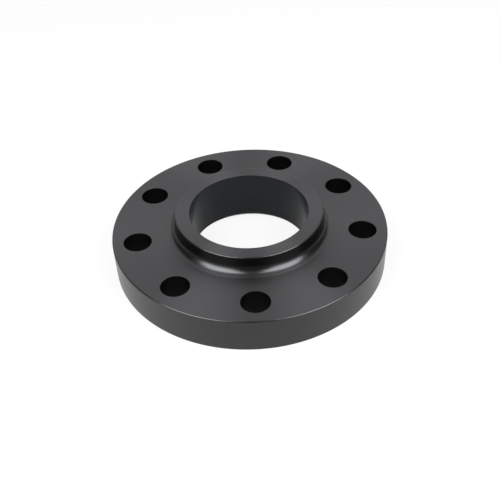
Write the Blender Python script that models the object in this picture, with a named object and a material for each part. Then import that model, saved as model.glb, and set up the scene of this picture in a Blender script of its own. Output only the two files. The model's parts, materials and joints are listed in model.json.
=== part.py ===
"""Hubbed slip-on weld flange in coated carbon steel: one forging, turned all over and drilled.

It lies on its flat gasket face with the hub up. The origin is the centre of that face, and +Z is the
pipe's axis. Lengths are in metres and angles in degrees.
"""

import math

import bmesh
import bpy

# Plate
PLATE_THICKNESS = 0.0275
RIM_EDGE_RADIUS = 0.001

# Bore: the pipe slides in with a running clearance all round and is welded at both ends
PIPE_DIAMETER = 0.0889
PIPE_CLEARANCE = 0.00055
BORE_MOUTH_RADIUS = 0.001
BORE_FACE_CHAMFER = 0.003

# Hub: its side leans out towards the plate and runs into it through a fillet
HUB_HEIGHT = 0.0135
HUB_WALL = 0.0109
HUB_LEAN = 2.0
HUB_EDGE_RADIUS = 0.001
HUB_FILLET_RADIUS = 0.0075

# Bolt holes, evenly spaced: room for a nut between the hub's edge and each hole, and the metal left
# between each hole and the rim
BOLT_COUNT = 9
BOLT_DIAMETER = 0.019
BOLT_CLEARANCE = 0.00075
HUB_TO_HOLE = 0.01995
HOLE_TO_RIM = 0.00865
BOLT_HOLE_CHAMFER = 0.0005
FIRST_BOLT_ANGLE = -90.0

# Facets in the turned forms, the distance at which a turned form's first and last points are one, and
# how far a drill runs past each face of the plate
TURNING_STEPS = 144
DRILLING_STEPS = 36
EDGE_STEPS = 2
FILLET_STEPS = 6
SEAM_TOLERANCE = 0.000001
DRILL_OVERRUN = 0.002
SHARP_ANGLE = 30.0

COAT_COLOUR = (0.006, 0.006, 0.0065, 1.0)
COAT_ROUGHNESS = 0.35

# The flange is sized outwards from its pipe
BORE_RADIUS = PIPE_DIAMETER / 2 + PIPE_CLEARANCE
HUB_TOP_RADIUS = BORE_RADIUS + HUB_WALL
HUB_TOP = PLATE_THICKNESS + HUB_HEIGHT
BOLT_HOLE_RADIUS = BOLT_DIAMETER / 2 + BOLT_CLEARANCE
BOLT_CIRCLE_RADIUS = HUB_TOP_RADIUS + HUB_TO_HOLE + BOLT_HOLE_RADIUS
RIM_RADIUS = BOLT_CIRCLE_RADIUS + BOLT_HOLE_RADIUS + HOLE_TO_RIM


def clear_scene():
    for obj in list(bpy.data.objects):
        bpy.data.objects.remove(obj)


def arc(centre, radius, start, end, steps):
    """Points on a circle about a centre, from one angle to another."""
    points = []
    for step in range(steps + 1):
        angle = math.radians(start + (end - start) * step / steps)
        points.append((centre[0] + radius * math.cos(angle), centre[1] + radius * math.sin(angle)))
    return points


def hub_fillet(edge_centre):
    """The arc that leaves the hub's leaning side and lands flat on the plate.

    The side touches the hub's rounded top edge, so it lies one edge radius out from that edge's
    centre. The fillet's centre lies one fillet radius beyond the side, and as far above the plate.
    """
    lean = math.radians(HUB_LEAN)
    height = PLATE_THICKNESS + HUB_FILLET_RADIUS
    beyond = HUB_EDGE_RADIUS + HUB_FILLET_RADIUS
    drop = edge_centre[1] - height
    radius = edge_centre[0] + (beyond + drop * math.sin(lean)) / math.cos(lean)
    return arc((radius, height), HUB_FILLET_RADIUS, 180 + HUB_LEAN, 270, FILLET_STEPS)


def turned_outline():
    """The section of the whole forging as a ring of (radius, height) points, from the face inwards."""
    mouth = (BORE_RADIUS + BORE_MOUTH_RADIUS, HUB_TOP - BORE_MOUTH_RADIUS)
    hub_edge = (HUB_TOP_RADIUS - HUB_EDGE_RADIUS, HUB_TOP - HUB_EDGE_RADIUS)
    upper_rim = (RIM_RADIUS - RIM_EDGE_RADIUS, PLATE_THICKNESS - RIM_EDGE_RADIUS)
    lower_rim = (RIM_RADIUS - RIM_EDGE_RADIUS, RIM_EDGE_RADIUS)
    outline = [(BORE_RADIUS + BORE_FACE_CHAMFER, 0.0), (BORE_RADIUS, BORE_FACE_CHAMFER)]
    outline += arc(mouth, BORE_MOUTH_RADIUS, 180, 90, EDGE_STEPS)
    outline += arc(hub_edge, HUB_EDGE_RADIUS, 90, HUB_LEAN, EDGE_STEPS)
    outline += hub_fillet(hub_edge)
    outline += arc(upper_rim, RIM_EDGE_RADIUS, 90, 0, EDGE_STEPS)
    outline += arc(lower_rim, RIM_EDGE_RADIUS, 0, -90, EDGE_STEPS)
    outline.append(outline[0])
    return outline


def drill_outline():
    """A drill that flares at both faces of the plate, to break the hole's edges."""
    flare = BOLT_HOLE_RADIUS + BOLT_HOLE_CHAMFER + DRILL_OVERRUN
    return [
        (0.0, -DRILL_OVERRUN),
        (flare, -DRILL_OVERRUN),
        (BOLT_HOLE_RADIUS, BOLT_HOLE_CHAMFER),
        (BOLT_HOLE_RADIUS, PLATE_THICKNESS - BOLT_HOLE_CHAMFER),
        (flare, PLATE_THICKNESS + DRILL_OVERRUN),
        (0.0, PLATE_THICKNESS + DRILL_OVERRUN),
    ]


def turned_mesh(name, outline, steps):
    """The closed skin that an outline sweeps as it turns once about the Z axis."""
    bm = bmesh.new()
    verts = [bm.verts.new((radius, 0.0, height)) for radius, height in outline]
    edges = [bm.edges.new(pair) for pair in zip(verts, verts[1:])]
    bmesh.ops.spin(bm, geom=verts + edges, axis=(0, 0, 1), cent=(0, 0, 0), angle=math.tau, steps=steps)
    bmesh.ops.remove_doubles(bm, verts=bm.verts, dist=SEAM_TOLERANCE)
    bmesh.ops.recalc_face_normals(bm, faces=bm.faces)
    mesh = bpy.data.meshes.new(name)
    bm.to_mesh(mesh)
    bm.free()
    return mesh


def bolt_circle_drills():
    """One drill for each bolt, in a collection of their own, as cutters."""
    collection = bpy.data.collections.new("drills")
    bpy.context.scene.collection.children.link(collection)
    mesh = turned_mesh("drill", drill_outline(), DRILLING_STEPS)
    for index in range(BOLT_COUNT):
        angle = math.radians(FIRST_BOLT_ANGLE + 360 * index / BOLT_COUNT)
        drill = bpy.data.objects.new(f"drill_{index + 1}", mesh)
        drill.location = (BOLT_CIRCLE_RADIUS * math.cos(angle), BOLT_CIRCLE_RADIUS * math.sin(angle), 0)
        drill.rotation_euler.z = angle
        drill.hide_render = True
        drill.display_type = "WIRE"
        collection.objects.link(drill)
    return collection


def coat():
    """Near-black satin lacquer over machined steel."""
    material = bpy.data.materials.new("black_lacquer")
    material.use_nodes = True
    shader = material.node_tree.nodes["Principled BSDF"]
    shader.inputs["Base Color"].default_value = COAT_COLOUR
    shader.inputs["Roughness"].default_value = COAT_ROUGHNESS
    shader.inputs["Metallic"].default_value = 0.0
    return material


def weld_flange():
    """The turned forging with its bolt circle drilled through the plate."""
    flange = bpy.data.objects.new("weld_flange", turned_mesh("forging", turned_outline(), TURNING_STEPS))
    bpy.context.scene.collection.objects.link(flange)
    drilling = flange.modifiers.new("bolt_holes", "BOOLEAN")
    drilling.operation = "DIFFERENCE"
    drilling.solver = "EXACT"
    drilling.operand_type = "COLLECTION"
    drilling.collection = bolt_circle_drills()
    bpy.context.view_layer.update()
    evaluated = flange.evaluated_get(bpy.context.evaluated_depsgraph_get())
    drilled = bpy.data.meshes.new_from_object(evaluated)
    flange.modifiers.clear()
    flange.data = drilled
    drilled.name = "weld_flange"
    drilled.shade_smooth()
    drilled.set_sharp_from_angle(angle=math.radians(SHARP_ANGLE))
    drilled.materials.clear()
    drilled.materials.append(coat())
    return flange


clear_scene()
weld_flange()
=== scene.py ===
"""Looks of a hubbed slip-on weld flange: satin black lacquer over turned, bored and drilled carbon steel.

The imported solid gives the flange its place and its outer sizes. A finer skin of the same form replaces
it, with rounded edges that catch the light. Lengths are in metres and angles in degrees, and +Z is the
pipe's axis.
"""

import json
import math

import bmesh
import bpy
from mathutils import Matrix, Vector

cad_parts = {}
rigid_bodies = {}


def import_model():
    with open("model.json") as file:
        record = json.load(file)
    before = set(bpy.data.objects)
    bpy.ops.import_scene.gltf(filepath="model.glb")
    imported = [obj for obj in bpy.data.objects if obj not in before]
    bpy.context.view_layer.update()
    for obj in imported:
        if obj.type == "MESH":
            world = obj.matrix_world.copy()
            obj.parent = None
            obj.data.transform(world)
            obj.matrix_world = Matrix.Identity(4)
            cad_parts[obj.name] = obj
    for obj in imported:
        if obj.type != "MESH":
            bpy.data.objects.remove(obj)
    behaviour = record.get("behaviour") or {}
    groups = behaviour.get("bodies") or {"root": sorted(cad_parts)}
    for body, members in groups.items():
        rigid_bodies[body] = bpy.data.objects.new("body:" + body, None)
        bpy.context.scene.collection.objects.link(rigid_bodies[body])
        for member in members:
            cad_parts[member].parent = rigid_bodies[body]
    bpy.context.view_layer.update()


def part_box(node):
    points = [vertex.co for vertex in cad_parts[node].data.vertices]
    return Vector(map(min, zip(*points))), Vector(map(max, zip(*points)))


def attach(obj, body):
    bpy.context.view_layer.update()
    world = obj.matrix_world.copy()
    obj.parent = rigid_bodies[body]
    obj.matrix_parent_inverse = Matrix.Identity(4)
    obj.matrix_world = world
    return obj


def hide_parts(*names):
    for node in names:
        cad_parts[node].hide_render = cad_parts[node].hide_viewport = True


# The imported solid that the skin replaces, and a millimetre in metres
NODE = "weld_flange"
MM = 0.001

# Section of the turned form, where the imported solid's box doesn't give it
PLATE_THICKNESS = 27.5 * MM
BORE_RADIUS = 45.0 * MM
HUB_TOP_RADIUS = 55.9 * MM
HUB_LEAN = 2.0
HUB_FILLET_RADIUS = 7.5 * MM
EDGE_RADIUS = 1.0 * MM
MOUTH_EDGE_RADIUS = 0.3 * MM
BORE_FACE_CHAMFER = 3.0 * MM

# Bolt holes, evenly spaced
BOLT_COUNT = 9
FIRST_BOLT_ANGLE = -90.0
BOLT_CIRCLE_RADIUS = 86.1 * MM
BOLT_HOLE_RADIUS = 10.25 * MM
BOLT_EDGE_RADIUS = 0.5 * MM

# A drill rounds a hole's edge through this angle, a little short of the flat face, so that it cuts the
# face at a clear angle, and it runs past both faces
BOLT_EDGE_TURN = 80.0
DRILL_OVERRUN = 2.0 * MM

# Facets, fine enough that no outline shows a corner, the distance at which a turned form's first and
# last points are one, and the angle from which an edge is shaded sharp
TURNING_STEPS = 240
DRILLING_STEPS = 72
EDGE_STEPS = 6
FILLET_STEPS = 24
SEAM_TOLERANCE = 0.001 * MM
SHARP_ANGLE = 35.0

# How far up a face looks, where 1 is straight up and 0 is level: the flat faces' cut is on all that
# looks up, or down, more than the first value, and the rim's wall is what looks up less than the second
NEARLY_FLAT = 0.95
NEARLY_UPRIGHT = 0.2

# Steeper walls are given less gloss, as painted shade that dims what they mirror of the horizon and
# floor. For each band of the hub and the edges: how far up it looks at most, and its gloss, which eases
# off again where the fillet meets the plate. The rim's wall has a gloss of its own
SHADED_GLOSS_BANDS = (
    (NEARLY_UPRIGHT, 0.2),
    (0.33, 0.25),
    (0.45, 0.35),
    (0.55, 0.55),
    (0.65, 0.85),
    (0.84, 1.0),
    (NEARLY_FLAT, 0.8),
)
RIM_GLOSS = 0.54

# What every turned finish shares: acrylic lacquer's index of refraction, and the quarter turn that
# draws lamps out across the tool marks
TURNED_LACQUER = {"IOR": 1.5, "Coat IOR": 1.5, "Anisotropic Rotation": 0.25}

# Lathe marks are 0.2 mm apart, too fine to show, so they are drawn coarser. The second value says how
# quickly they change round the axis
MARK_SPACING = 1.2 * MM
MARK_STREAKS = 2.5

# A drill's marks are also drawn coarser than the real 0.3 mm: how far apart they are along the hole,
# and how far each one runs round it
DRILL_MARK_SPACING = 1.1 * MM
DRILL_MARK_LENGTH = 17.0 * MM

# The gasket groove has its real size
GROOVE_SPACING = 0.8 * MM
GROOVE_DEPTH = 0.03 * MM

# How deep the marks still are under the lacquer
FACED_DEPTH = 0.001 * MM
TURNED_DEPTH = 0.0005 * MM
BORED_DEPTH = 0.0003 * MM
DRILLED_DEPTH = 0.005 * MM

# Width of the faint clouds in the film, and the part of its range that a noise pattern mostly fills
CLOUD_SIZE = 18.0 * MM
NOISE_LOW = 0.25
NOISE_HIGH = 0.75

# Camera: where it stands, how far it leans, and its lens in millimetres
CAMERA_DISTANCE = 0.5865
CAMERA_AZIMUTH = -1.33
CAMERA_ELEVATION = 40.42
CAMERA_ROLL = -2.388
CAMERA_SHIFT = (-0.00105, 0.00152)
CAMERA_LENS = 53.27
CAMERA_SENSOR_WIDTH = 36.0
CAMERA_NEAR = 0.01

# Lamps: where each stands, its width and height, and its brightness, where 1 looks white
LAMP_COLOUR = "#fafbff"
BACK_SCREEN = {"azimuth": 180, "elevation": 42, "distance": 2.2, "size": (4.0, 2.0), "brightness": 0.73}
SIDE_BOX = {"azimuth": 100, "elevation": 70, "distance": 1.4, "size": (0.6, 0.9), "brightness": 0.8}
FRONT_BOX = {"azimuth": 48.5, "elevation": 38, "distance": 1.3, "size": (0.97, 1.15), "brightness": 4.5}

# The room glows at the horizon and is nearly black above. The glow is down to a third at this height,
# where 1 is straight up
ROOM_BRIGHTNESS = 0.02
HORIZON_BRIGHTNESS = 0.6
HORIZON_DEPTH = 0.08

# Floor: how far it reaches, the gap that keeps it clear of the gasket face, the share of its look that
# shadows and lamps leave alone, how bright that is, and how far out it starts and ends to dim
FLOOR_REACH = 40.0
FLOOR_GAP = 0.02 * MM
EVEN_SHARE = 0.8
EVEN_BRIGHTNESS = 1.05
FLOOR_BRIGHT_TO = 0.7
FLOOR_DIM_FROM = 5.0

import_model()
solid_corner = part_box(NODE)[1]
RIM_RADIUS = solid_corner.x
HUB_TOP = solid_corner.z


def arc(centre, radius, start, end, steps):
    """Points on a circle about a centre, from one angle to another."""
    points = []
    for step in range(steps + 1):
        angle = math.radians(start + (end - start) * step / steps)
        points.append((centre[0] + radius * math.cos(angle), centre[1] + radius * math.sin(angle)))
    return points


def hub_fillet(edge_centre):
    """The arc that leaves the hub's leaning side and lands flat on the plate."""
    lean = math.radians(HUB_LEAN)
    height = PLATE_THICKNESS + HUB_FILLET_RADIUS
    drop = edge_centre[1] - height
    radius = edge_centre[0] + (EDGE_RADIUS + HUB_FILLET_RADIUS + drop * math.sin(lean)) / math.cos(lean)
    return arc((radius, height), HUB_FILLET_RADIUS, 180 + HUB_LEAN, 270, FILLET_STEPS)


def turned_outline():
    """The section of the whole forging as a ring of (radius, height) points, from the face inwards."""
    mouth = (BORE_RADIUS + MOUTH_EDGE_RADIUS, HUB_TOP - MOUTH_EDGE_RADIUS)
    hub_edge = (HUB_TOP_RADIUS - EDGE_RADIUS, HUB_TOP - EDGE_RADIUS)
    upper_rim = (RIM_RADIUS - EDGE_RADIUS, PLATE_THICKNESS - EDGE_RADIUS)
    lower_rim = (RIM_RADIUS - EDGE_RADIUS, EDGE_RADIUS)
    outline = [(BORE_RADIUS + BORE_FACE_CHAMFER, 0.0), (BORE_RADIUS, BORE_FACE_CHAMFER)]
    outline += arc(mouth, MOUTH_EDGE_RADIUS, 180, 90, EDGE_STEPS)
    outline += arc(hub_edge, EDGE_RADIUS, 90, HUB_LEAN, EDGE_STEPS)
    outline += hub_fillet(hub_edge)
    outline += arc(upper_rim, EDGE_RADIUS, 90, 0, EDGE_STEPS)
    outline += arc(lower_rim, EDGE_RADIUS, 0, -90, EDGE_STEPS)
    outline.append(outline[0])
    return outline


def drill_outline():
    """A drill that rounds the hole's edge at both faces of the plate, where it flares to a wider shank."""
    wide = BOLT_HOLE_RADIUS + BOLT_EDGE_RADIUS
    top = PLATE_THICKNESS - BOLT_EDGE_RADIUS
    lower = arc((wide, BOLT_EDGE_RADIUS), BOLT_EDGE_RADIUS, 180 + BOLT_EDGE_TURN, 180, EDGE_STEPS)
    upper = arc((wide, top), BOLT_EDGE_RADIUS, 180, 180 - BOLT_EDGE_TURN, EDGE_STEPS)
    start, end = -DRILL_OVERRUN, PLATE_THICKNESS + DRILL_OVERRUN
    return [(0.0, start), (wide, start), *lower, *upper, (wide, end), (0.0, end)]


def turned_mesh(name, outline, steps):
    """The closed skin that an outline sweeps as it turns once about the Z axis."""
    bm = bmesh.new()
    verts = [bm.verts.new((radius, 0.0, height)) for radius, height in outline]
    edges = [bm.edges.new(pair) for pair in zip(verts, verts[1:])]
    bmesh.ops.spin(bm, geom=verts + edges, axis=(0, 0, 1), cent=(0, 0, 0), angle=math.tau, steps=steps)
    bmesh.ops.remove_doubles(bm, verts=bm.verts, dist=SEAM_TOLERANCE)
    bmesh.ops.recalc_face_normals(bm, faces=bm.faces)
    mesh = bpy.data.meshes.new(name)
    bm.to_mesh(mesh)
    bm.free()
    return mesh


def placed(name, data):
    """An object that shows that data, in the scene."""
    thing = bpy.data.objects.new(name, data)
    bpy.context.scene.collection.objects.link(thing)
    return thing


def linear(code):
    """The linear red, green, blue and alpha of an sRGB hex colour."""
    channels = [int(code[i:i + 2], 16) / 255 for i in (1, 3, 5)]
    return [c / 12.92 if c <= 0.04045 else ((c + 0.055) / 1.055) ** 2.4 for c in channels] + [1.0]


def add(tree, kind, inputs=None, **settings):
    """A node with its settings, and with a value or a link on each input that is named or numbered."""
    node = tree.nodes.new(kind)
    for name, value in settings.items():
        setattr(node, name, value)
    for name, value in (inputs or {}).items():
        if isinstance(value, bpy.types.NodeSocket):
            tree.links.new(value, node.inputs[name])
        else:
            node.inputs[name].default_value = value
    return node


def empty_material(name):
    """A material with nothing in its node tree yet, and that tree."""
    material = bpy.data.materials.new(name)
    material.use_nodes = True
    material.node_tree.nodes.clear()
    return material, material.node_tree


def finished(material, inputs):
    """The material with its surface described by those inputs."""
    tree = material.node_tree
    shader = add(tree, "ShaderNodeBsdfPrincipled", inputs)
    add(tree, "ShaderNodeOutputMaterial", {"Surface": shader.outputs[0]})
    return material


def lathe_marks(tree):
    """Fine streaks that run round the axis, each as wide as the spacing between two cuts of the tool."""
    place = add(tree, "ShaderNodeTexCoord").outputs["Object"]
    axes = add(tree, "ShaderNodeSeparateXYZ", {0: place}).outputs
    flat = add(tree, "ShaderNodeCombineXYZ", {0: axes[0], 1: axes[1]}).outputs[0]
    radius = add(tree, "ShaderNodeVectorMath", {0: flat}, operation="LENGTH").outputs["Value"]
    # The tool travels outwards over the faces and down the sides
    travel = add(tree, "ShaderNodeMath", {0: radius, 1: axes[2]}, operation="SUBTRACT").outputs[0]
    cuts = add(tree, "ShaderNodeMath", {0: travel, 1: 1 / MARK_SPACING}, operation="MULTIPLY").outputs[0]
    lift = add(tree, "ShaderNodeCombineXYZ", {2: cuts}).outputs[0]
    heading = add(tree, "ShaderNodeVectorMath", {0: flat}, operation="NORMALIZE").outputs[0]
    inputs = {0: heading, 1: (MARK_STREAKS, MARK_STREAKS, 0)}
    turn = add(tree, "ShaderNodeVectorMath", inputs, operation="MULTIPLY").outputs[0]
    unrolled = add(tree, "ShaderNodeVectorMath", {0: turn, 1: lift}, operation="ADD").outputs[0]
    return add(tree, "ShaderNodeTexNoise", {"Vector": unrolled, "Scale": 1.0, "Detail": 2.0}).outputs[0]


def drill_marks(tree):
    """Short uneven scores round each hole's wall, one above the other."""
    place = add(tree, "ShaderNodeTexCoord").outputs["Object"]
    cells = (1 / DRILL_MARK_LENGTH, 1 / DRILL_MARK_LENGTH, 1 / DRILL_MARK_SPACING)
    scores = add(tree, "ShaderNodeVectorMath", {0: place, 1: cells}, operation="MULTIPLY").outputs[0]
    return add(tree, "ShaderNodeTexNoise", {"Vector": scores, "Scale": 1.0, "Detail": 2.0}).outputs[0]


def spiral_groove(tree):
    """The gasket face's spiral groove, drawn as even rings, with the round section a tool gives it."""
    place = add(tree, "ShaderNodeTexCoord").outputs["Object"]
    flat = add(tree, "ShaderNodeVectorMath", {0: place, 1: (1, 1, 0)}, operation="MULTIPLY").outputs[0]
    radius = add(tree, "ShaderNodeVectorMath", {0: flat}, operation="LENGTH").outputs["Value"]
    inputs = {0: radius, 1: math.tau / GROOVE_SPACING}
    turns = add(tree, "ShaderNodeMath", inputs, operation="MULTIPLY").outputs[0]
    return add(tree, "ShaderNodeMath", {0: turns}, operation="COSINE").outputs[0]


def film_colour(tree, thin, thick):
    """Lacquer that clouds a little where the sprayed film is thinner."""
    place = add(tree, "ShaderNodeTexCoord").outputs["Object"]
    inputs = {"Vector": place, "Scale": 1 / CLOUD_SIZE, "Detail": 3.0}
    cloud = add(tree, "ShaderNodeTexNoise", inputs).outputs[0]
    # The mixer's inputs 6 and 7 and its output 2 are the ones for colours
    inputs = {0: cloud, 6: linear(thick), 7: linear(thin)}
    return add(tree, "ShaderNodeMix", inputs, data_type="RGBA").outputs[2]


def tooled(tree, marks, roughness, ridges, depth):
    """What a tool left: roughness that goes from low to high with its marks, and ridges of that depth."""
    inputs = {0: marks, 1: NOISE_LOW, 2: NOISE_HIGH, 3: roughness[0], 4: roughness[1]}
    rough = add(tree, "ShaderNodeMapRange", inputs).outputs[0]
    inputs = {"Strength": 1.0, "Distance": depth, "Height": ridges}
    return {"Roughness": rough, "Normal": add(tree, "ShaderNodeBump", inputs).outputs[0]}


def lacquered_faced_steel():
    """Black acrylic lacquer sprayed thinly over faces that a lathe cut flat.

    The film keeps the cut's fine ridges, so a lamp draws out into a faint streak that points at the
    axis, over an even satin grey that mirrors the studio.
    """
    material, tree = empty_material("lacquered_faced_steel")
    marks = lathe_marks(tree)
    surface = tooled(tree, marks, (0.37, 0.4), marks, FACED_DEPTH)
    shader = {
        **TURNED_LACQUER,
        **surface,
        "Base Color": film_colour(tree, "#0c0c0d", "#090909"),
        "Specular IOR Level": 1.0,
        "Anisotropic": 0.92,
        "Coat Weight": 0.6,
        "Coat Roughness": 0.35,
        "Coat Normal": surface["Normal"],
    }
    return finished(material, shader)


def lacquered_serrated_steel():
    """The same lacquer on the gasket face, over the fine spiral groove that grips a gasket.

    The groove shows as close rings that catch the light on one side, and the face looks duller.
    """
    material, tree = empty_material("lacquered_serrated_steel")
    marks = lathe_marks(tree)
    shader = {
        **TURNED_LACQUER,
        **tooled(tree, marks, (0.35, 0.4), spiral_groove(tree), GROOVE_DEPTH),
        "Base Color": film_colour(tree, "#0c0c0d", "#090909"),
        "Specular IOR Level": 0.8,
        "Anisotropic": 0.6,
    }
    return finished(material, shader)


def lacquered_turned_steel(gloss):
    """The same lacquer over the hub, its fillet and the edges, which a form tool left smoother.

    Lamps show there as clear soft-edged bands, and every rounded edge as a fine bright line. Full
    gloss is 1, and each copy's gloss is painted shade that falls on steeper walls, so the dullest and
    darkest of these walls is the hub's side.
    """
    material, tree = empty_material(f"lacquered_turned_steel_{gloss * 100:.0f}")
    marks = lathe_marks(tree)
    shader = {
        **TURNED_LACQUER,
        **tooled(tree, marks, (0.27, 0.3), marks, TURNED_DEPTH),
        "Base Color": film_colour(tree, "#060607", "#040404"),
        "Specular IOR Level": gloss,
        "Anisotropic": 0.6,
        "Coat Weight": 0.5 * gloss,
        "Coat Roughness": 0.26,
    }
    return finished(material, shader)


def lacquered_rim_steel():
    """The lacquer on the rim: plain satin, which mirrors the floor round it."""
    material, tree = empty_material("lacquered_rim_steel")
    marks = lathe_marks(tree)
    shader = {
        **TURNED_LACQUER,
        **tooled(tree, marks, (0.29, 0.33), marks, TURNED_DEPTH),
        "Base Color": film_colour(tree, "#0a0a0b", "#070707"),
        "Specular IOR Level": RIM_GLOSS,
        "Anisotropic": 0.7,
    }
    return finished(material, shader)


def lacquered_bored_steel():
    """The lacquer inside the bore, where little of it reached.

    The wall has hardly any gloss, and shows an even, slightly blue dark grey.
    """
    material, tree = empty_material("lacquered_bored_steel")
    marks = lathe_marks(tree)
    shader = {
        **TURNED_LACQUER,
        **tooled(tree, marks, (0.25, 0.27), marks, BORED_DEPTH),
        "Base Color": film_colour(tree, "#242627", "#1e2021"),
        "Specular IOR Level": 0.08,
        "Anisotropic": 0.3,
    }
    return finished(material, shader)


def lacquered_drilled_steel():
    """Dull lacquer on the walls that a drill left rough: near black, with hardly any gloss."""
    material, tree = empty_material("lacquered_drilled_steel")
    marks = drill_marks(tree)
    shader = {
        **tooled(tree, marks, (0.5, 0.62), marks, DRILLED_DEPTH),
        "Base Color": linear("#040404"),
        "IOR": 1.45,
        "Specular IOR Level": 0.09,
    }
    return finished(material, shader)


# Places of the finishes on the skin, where TURNED is the first of the bands whose gloss is painted shade
FACED, SERRATED, RIM, BORED, DRILLED, TURNED = range(6)


def all_finishes():
    """Every finish, each in its place."""
    plain = [
        lacquered_faced_steel(),
        lacquered_serrated_steel(),
        lacquered_rim_steel(),
        lacquered_bored_steel(),
        lacquered_drilled_steel(),
    ]
    # One copy of the turned lacquer for each band, its gloss painted shade
    return plain + [lacquered_turned_steel(gloss) for most, gloss in SHADED_GLOSS_BANDS]


def finish_at(polygon):
    """Which finish a face of the turned form has, by where it is and how steep it is."""
    radius = polygon.center.xy.length
    up = polygon.normal.z
    if up < -NEARLY_FLAT:
        return SERRATED
    if up > NEARLY_FLAT:
        return FACED
    if radius < BORE_RADIUS + MOUTH_EDGE_RADIUS:
        return BORED
    if radius > BOLT_CIRCLE_RADIUS and up < NEARLY_UPRIGHT:
        return RIM
    # Steeper faces take a band of lower gloss, which is painted shade
    return TURNED + [up <= most for most, gloss in SHADED_GLOSS_BANDS].index(True)


def turned_form():
    """The forging as it leaves the lathe, with its finishes."""
    form = turned_mesh("turned_form", turned_outline(), TURNING_STEPS)
    for finish in all_finishes():
        form.materials.append(finish)
    for polygon in form.polygons:
        polygon.material_index = finish_at(polygon)
    return form


def bolt_circle_drills(materials):
    """One drill for each bolt, in a collection of their own, as cutters that leave a drilled finish."""
    drill = turned_mesh("drill", drill_outline(), DRILLING_STEPS)
    for material in materials:
        drill.materials.append(material)
    for polygon in drill.polygons:
        polygon.material_index = DRILLED
    drills = bpy.data.collections.new("drills")
    bpy.context.scene.collection.children.link(drills)
    for index in range(BOLT_COUNT):
        angle = math.radians(FIRST_BOLT_ANGLE + 360 * index / BOLT_COUNT)
        cutter = bpy.data.objects.new(f"drill_{index + 1}", drill)
        cutter.location = (BOLT_CIRCLE_RADIUS * math.cos(angle), BOLT_CIRCLE_RADIUS * math.sin(angle), 0)
        cutter.rotation_euler.z = angle
        drills.objects.link(cutter)
    return drills


def drilled_skin():
    """The turned form with its bolt circle drilled through, edges rounded, one closed skin."""
    form = turned_form()
    piece = placed("flange_skin", form)
    drills = bolt_circle_drills(form.materials)
    drilling = piece.modifiers.new("bolt_holes", "BOOLEAN")
    drilling.operation = "DIFFERENCE"
    drilling.solver = "EXACT"
    drilling.operand_type = "COLLECTION"
    drilling.collection = drills
    bpy.context.view_layer.update()
    evaluated = piece.evaluated_get(bpy.context.evaluated_depsgraph_get())
    drilled = bpy.data.meshes.new_from_object(evaluated)
    piece.modifiers.clear()
    piece.data = drilled
    for cutter in list(drills.objects):
        bpy.data.objects.remove(cutter)
    bpy.data.collections.remove(drills)
    drilled.shade_smooth()
    drilled.set_sharp_from_angle(angle=math.radians(SHARP_ANGLE))
    flatten = piece.modifiers.new("flat_faces_stay_flat", "WEIGHTED_NORMAL")
    flatten.keep_sharp = True
    return piece


def matt_white_paint():
    """White emulsion on a smooth floor: no gloss. What sees it directly sees it nearly evenly white."""
    material, tree = empty_material("matt_white_paint")
    rays = add(tree, "ShaderNodeLightPath").outputs
    seen = rays["Is Camera Ray"]
    for other in ("Is Glossy Ray", "Is Transmission Ray"):
        seen = add(tree, "ShaderNodeMath", {0: seen, 1: rays[other]}, operation="MAXIMUM").outputs[0]
    share = add(tree, "ShaderNodeMath", {0: seen, 1: EVEN_SHARE}, operation="MULTIPLY").outputs[0]
    place = add(tree, "ShaderNodeTexCoord").outputs["Object"]
    away = add(tree, "ShaderNodeVectorMath", {0: place}, operation="LENGTH").outputs["Value"]
    # Far out the paint is too dark to count, so the even share alone comes to the horizon's brightness
    inputs = {
        0: away,
        1: FLOOR_BRIGHT_TO,
        2: FLOOR_DIM_FROM,
        3: EVEN_BRIGHTNESS,
        4: HORIZON_BRIGHTNESS / EVEN_SHARE,
    }
    strength = add(tree, "ShaderNodeMapRange", inputs, interpolation_type="SMOOTHSTEP").outputs[0]
    paint = add(tree, "ShaderNodeBsdfDiffuse", {"Color": linear("#eeeeee")}).outputs[0]
    even = add(tree, "ShaderNodeEmission", {"Color": linear("#ffffff"), "Strength": strength}).outputs[0]
    mixed = add(tree, "ShaderNodeMixShader", {0: share, 1: paint, 2: even}).outputs[0]
    add(tree, "ShaderNodeOutputMaterial", {"Surface": mixed})
    return material


def studio_floor():
    """A wide matt white floor that keeps the flange's shadow and dims far away, as a deep studio does."""
    bm = bmesh.new()
    bmesh.ops.create_grid(bm, x_segments=1, y_segments=1, size=FLOOR_REACH)
    mesh = bpy.data.meshes.new("floor")
    bm.to_mesh(mesh)
    bm.free()
    mesh.materials.append(matt_white_paint())
    floor = placed("floor", mesh)
    floor.location.z = -FLOOR_GAP


def towards(azimuth, elevation):
    """The unit direction from the flange to what stands there. Azimuth 0 is the front, and 90 the right."""
    turn, rise = math.radians(azimuth), math.radians(elevation)
    return Vector((math.sin(turn) * math.cos(rise), -math.cos(turn) * math.cos(rise), math.sin(rise)))


def softbox(name, side, azimuth, elevation, distance, size, brightness):
    """A flat panel of even brightness that faces the flange. Side is -1 to mirror it to the left."""
    lamp = bpy.data.lights.new(name, "AREA")
    lamp.shape = "RECTANGLE"
    lamp.size, lamp.size_y = size
    lamp.energy = brightness * math.pi * size[0] * size[1]
    lamp.color = linear(LAMP_COLOUR)[:3]
    direction = towards(side * azimuth, elevation)
    panel = placed(name, lamp)
    panel.location = direction * distance
    panel.rotation_euler = direction.to_track_quat("Z", "Y").to_euler()
    panel.visible_camera = False


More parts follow.
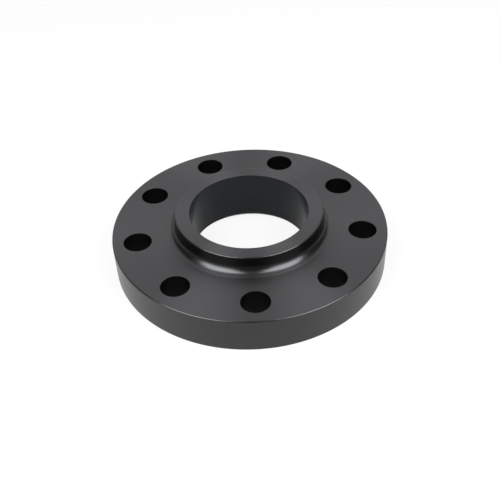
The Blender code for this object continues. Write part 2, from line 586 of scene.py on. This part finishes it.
def lamps():
    """A dim screen high behind, dim boxes high at the sides, and the two main soft boxes in front."""
    softbox("back_screen", 1, **BACK_SCREEN)
    softbox("side_left_box", -1, **SIDE_BOX)
    softbox("side_right_box", 1, **SIDE_BOX)
    softbox("front_left_box", -1, **FRONT_BOX)
    softbox("front_right_box", 1, **FRONT_BOX)


def dim_room():
    """A nearly black room, with a glow at the horizon that carries on from the floor's far end."""
    world = bpy.data.worlds.new("dim_room")
    bpy.context.scene.world = world
    world.use_nodes = True
    tree = world.node_tree
    tree.nodes.clear()
    heading = add(tree, "ShaderNodeTexCoord").outputs["Generated"]
    height = add(tree, "ShaderNodeSeparateXYZ", {0: heading}).outputs[2]
    above = add(tree, "ShaderNodeMath", {0: height, 1: 0.0}, operation="MAXIMUM").outputs[0]
    fall = add(tree, "ShaderNodeMath", {0: above, 1: -1 / HORIZON_DEPTH}, operation="MULTIPLY").outputs[0]
    glow = add(tree, "ShaderNodeMath", {0: fall}, operation="EXPONENT").outputs[0]
    inputs = {0: glow, 1: 0.0, 2: 1.0, 3: ROOM_BRIGHTNESS, 4: HORIZON_BRIGHTNESS}
    strength = add(tree, "ShaderNodeMapRange", inputs).outputs[0]
    room = add(tree, "ShaderNodeBackground", {"Color": linear("#ffffff"), "Strength": strength})
    add(tree, "ShaderNodeOutputWorld", {"Surface": room.outputs[0]})


def camera():
    """The view from the front and above that the photo has."""
    data = bpy.data.cameras.new("camera")
    data.lens = CAMERA_LENS
    data.sensor_width = CAMERA_SENSOR_WIDTH
    data.shift_x, data.shift_y = CAMERA_SHIFT
    data.clip_start = CAMERA_NEAR
    back = towards(CAMERA_AZIMUTH, CAMERA_ELEVATION)
    right = Vector((0, 0, 1)).cross(back).normalized()
    upright = Matrix((right, back.cross(right), back)).transposed()
    view = placed("camera", data)
    view.matrix_world = (upright @ Matrix.Rotation(math.radians(CAMERA_ROLL), 3, "Z")).to_4x4()
    view.location = back * CAMERA_DISTANCE
    bpy.context.scene.camera = view


skin = drilled_skin()
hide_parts(NODE)
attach(skin, "root")
studio_floor()
lamps()
dim_room()
camera()
bpy.context.scene.view_settings.view_transform = "Standard"
